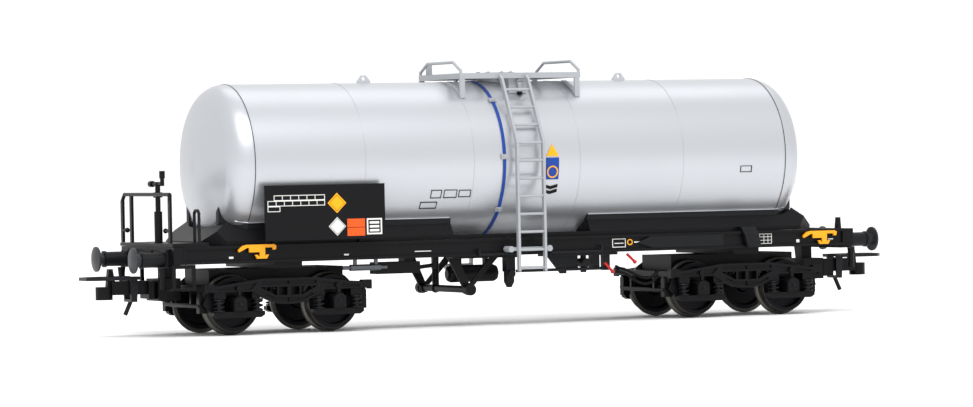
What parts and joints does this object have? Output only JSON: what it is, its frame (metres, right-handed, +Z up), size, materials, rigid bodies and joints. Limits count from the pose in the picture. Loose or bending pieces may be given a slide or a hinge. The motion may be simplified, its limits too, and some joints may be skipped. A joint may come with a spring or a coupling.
{
  "type": "H0 scale model bogie tank wagon",
  "caption": "Scale model tank wagon: silver cylindrical tank on a black underframe with swivelling bogies, ladders, top walkway, end platform and loop couplings.",
  "frame": {"origin": "middle of the wagon at the level of the lowest points of the wheel flanges", "axes": "+X along the wagon, away from the handbrake platform; +Y across it; +Z up"},
  "size_m": [0.1752, 0.035, 0.0523],
  "materials": {
    "tank_silver": "satin silver-grey paint",
    "frame_black": "satin black",
    "frame_dark_grey": "satin anthracite",
    "detail_grey": "pale grey moulding",
    "band_blue": "blue paint",
    "hook_yellow": "yellow-orange paint",
    "lever_red": "red paint",
    "wheel_metal": "turned, darkened metal",
    "axle_metal": "plain steel",
    "buffer_grey": "mid grey",
    "loop_metal": "blackened steel wire",
    "adjuster_metal": "bare metal"
  },
  "bodies": {
    "wagon": {"tank": "tank_silver", "manhole": "detail_grey", "valve_boxes": "detail_grey", "blue_band": "band_blue", "lifting_lugs": "tank_silver", "walkway": "detail_grey", "walkway_handrails": "detail_grey", "walkway_legs": "detail_grey", "ladders": "detail_grey", "ladder_brackets": "detail_grey", "saddles": "frame_black", "trough_pads": "frame_dark_grey", "sole_bars": "frame_black", "headstocks": "frame_black", "centre_sill": "frame_black", "cross_members": "frame_black", "buffer_housings": "frame_dark_grey", "buffer_heads": "buffer_grey", "end_platform": "frame_black", "platform_handrail": "frame_black", "handbrake": "frame_black", "rope_hooks": "hook_yellow", "sign_boards": "frame_black", "corner_steps": "frame_black", "grab_hoops": "frame_dark_grey", "gusset_brackets": "frame_dark_grey", "discharge_pipe": "frame_black", "pipe_brackets": "frame_black", "air_reservoir": "frame_black", "brake_distributor": "frame_dark_grey", "brake_valves": "frame_dark_grey", "brake_rigging": "frame_black", "slack_adjuster": "adjuster_metal", "red_levers": "lever_red", "air_hoses": "frame_black", "coupling_pivots": "frame_black"},
    "bogie_left": {"left_bogie_side_frames": "frame_black", "left_bogie_centre_block": "frame_black", "left_bogie_axle_boxes": "frame_black", "left_bogie_springs": "frame_black", "left_bogie_brake_beams": "frame_black"},
    "bogie_right": {"right_bogie_side_frames": "frame_black", "right_bogie_centre_block": "frame_black", "right_bogie_axle_boxes": "frame_black", "right_bogie_springs": "frame_black", "right_bogie_brake_beams": "frame_black"},
    "wheelset_left_outer": {"left_outer_wheels": "wheel_metal", "left_outer_axle": "axle_metal"},
    "wheelset_left_inner": {"left_inner_wheels": "wheel_metal", "left_inner_axle": "axle_metal"},
    "wheelset_right_inner": {"right_inner_wheels": "wheel_metal", "right_inner_axle": "axle_metal"},
    "wheelset_right_outer": {"right_outer_wheels": "wheel_metal", "right_outer_axle": "axle_metal"},
    "coupling_left": {"left_coupling": "frame_black"},
    "loop_left": {"left_coupling_loop": "loop_metal"},
    "coupling_right": {"right_coupling": "frame_black"},
    "loop_right": {"right_coupling_loop": "loop_metal"}
  },
  "joints": [
    {"name": "bogie_left_swivel", "type": "hinge", "parent": "wagon", "child": "bogie_left", "pos_m": [-0.0502, 0, 0.0108], "axis": [0, 0, 1], "range_deg": [-10, 10]},
    {"name": "bogie_right_swivel", "type": "hinge", "parent": "wagon", "child": "bogie_right", "pos_m": [0.0502, 0, 0.0108], "axis": [0, 0, 1], "range_deg": [-10, 10]},
    {"name": "wheelset_left_outer_spin", "type": "hinge", "parent": "bogie_left", "child": "wheelset_left_outer", "pos_m": [-0.06055, 0, 0.00595], "axis": [0, 1, 0], "continuous": true},
    {"name": "wheelset_left_inner_spin", "type": "hinge", "parent": "bogie_left", "child": "wheelset_left_inner", "pos_m": [-0.03985, 0, 0.00595], "axis": [0, 1, 0], "continuous": true},
    {"name": "wheelset_right_inner_spin", "type": "hinge", "parent": "bogie_right", "child": "wheelset_right_inner", "pos_m": [0.03985, 0, 0.00595], "axis": [0, 1, 0], "continuous": true},
    {"name": "wheelset_right_outer_spin", "type": "hinge", "parent": "bogie_right", "child": "wheelset_right_outer", "pos_m": [0.06055, 0, 0.00595], "axis": [0, 1, 0], "continuous": true},
    {"name": "coupling_left_swing", "type": "hinge", "parent": "wagon", "child": "coupling_left", "pos_m": [-0.0706, 0, 0.0095], "axis": [0, 0, 1], "range_deg": [-8, 8]},
    {"name": "loop_left_lift", "type": "hinge", "parent": "coupling_left", "child": "loop_left", "pos_m": [-0.0779, 0, 0.0098], "axis": [0, 1, 0], "range_deg": [0, 20]},
    {"name": "coupling_right_swing", "type": "hinge", "parent": "wagon", "child": "coupling_right", "pos_m": [0.0706, 0, 0.0095], "axis": [0, 0, 1], "range_deg": [-8, 8]},
    {"name": "loop_right_lift", "type": "hinge", "parent": "coupling_right", "child": "loop_right", "pos_m": [0.0779, 0, 0.0098], "axis": [0, -1, 0], "range_deg": [0, 20]}
  ]
}
